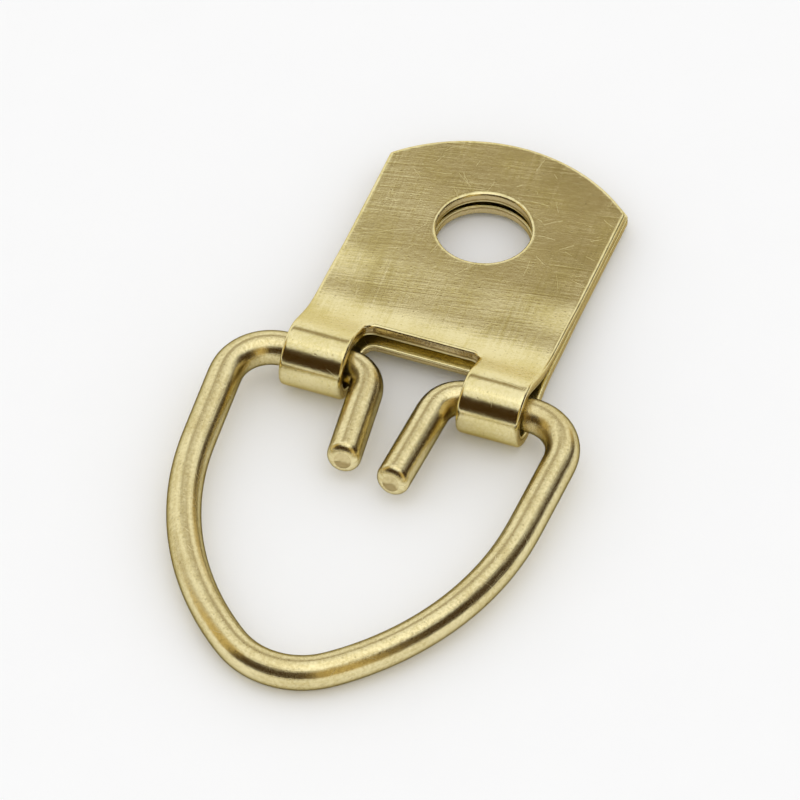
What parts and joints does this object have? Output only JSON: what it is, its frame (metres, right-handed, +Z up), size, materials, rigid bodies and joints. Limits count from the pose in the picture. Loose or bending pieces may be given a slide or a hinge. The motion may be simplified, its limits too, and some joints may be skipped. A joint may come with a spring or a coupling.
{
  "type": "d ring picture hanger",
  "caption": "Small brass-plated picture hanger: a sheet strap folded double with a screw hole, and a bent wire ring that swings in the strap's eyes.",
  "frame": {"origin": "on the surface that the hanger lies on, under the middle of its length and width", "axes": "+Z up out of that surface, +Y along the strap from the eyes to its bowed end so that the ring points to -Y, +X across the strap"},
  "size_m": [0.02, 0.039, 0.0036],
  "materials": {
    "brass_plated_strip": "bright satin brass plating on cold-rolled strip, with fine cross brushing, faint scratches and small pits",
    "brass_plated_wire": "bright brass plating on drawn wire, with faint lengthwise drawing lines"
  },
  "bodies": {
    "strap": {"folded_strap": "brass_plated_strip"},
    "ring": {"d_ring": "brass_plated_wire"}
  },
  "joints": [
    {"name": "ring_swing", "type": "hinge", "parent": "strap", "child": "ring", "pos_m": [0, 0.00131, 0.0018], "axis": [-1, 0, 0], "range_deg": [-128.9, 141]}
  ]
}
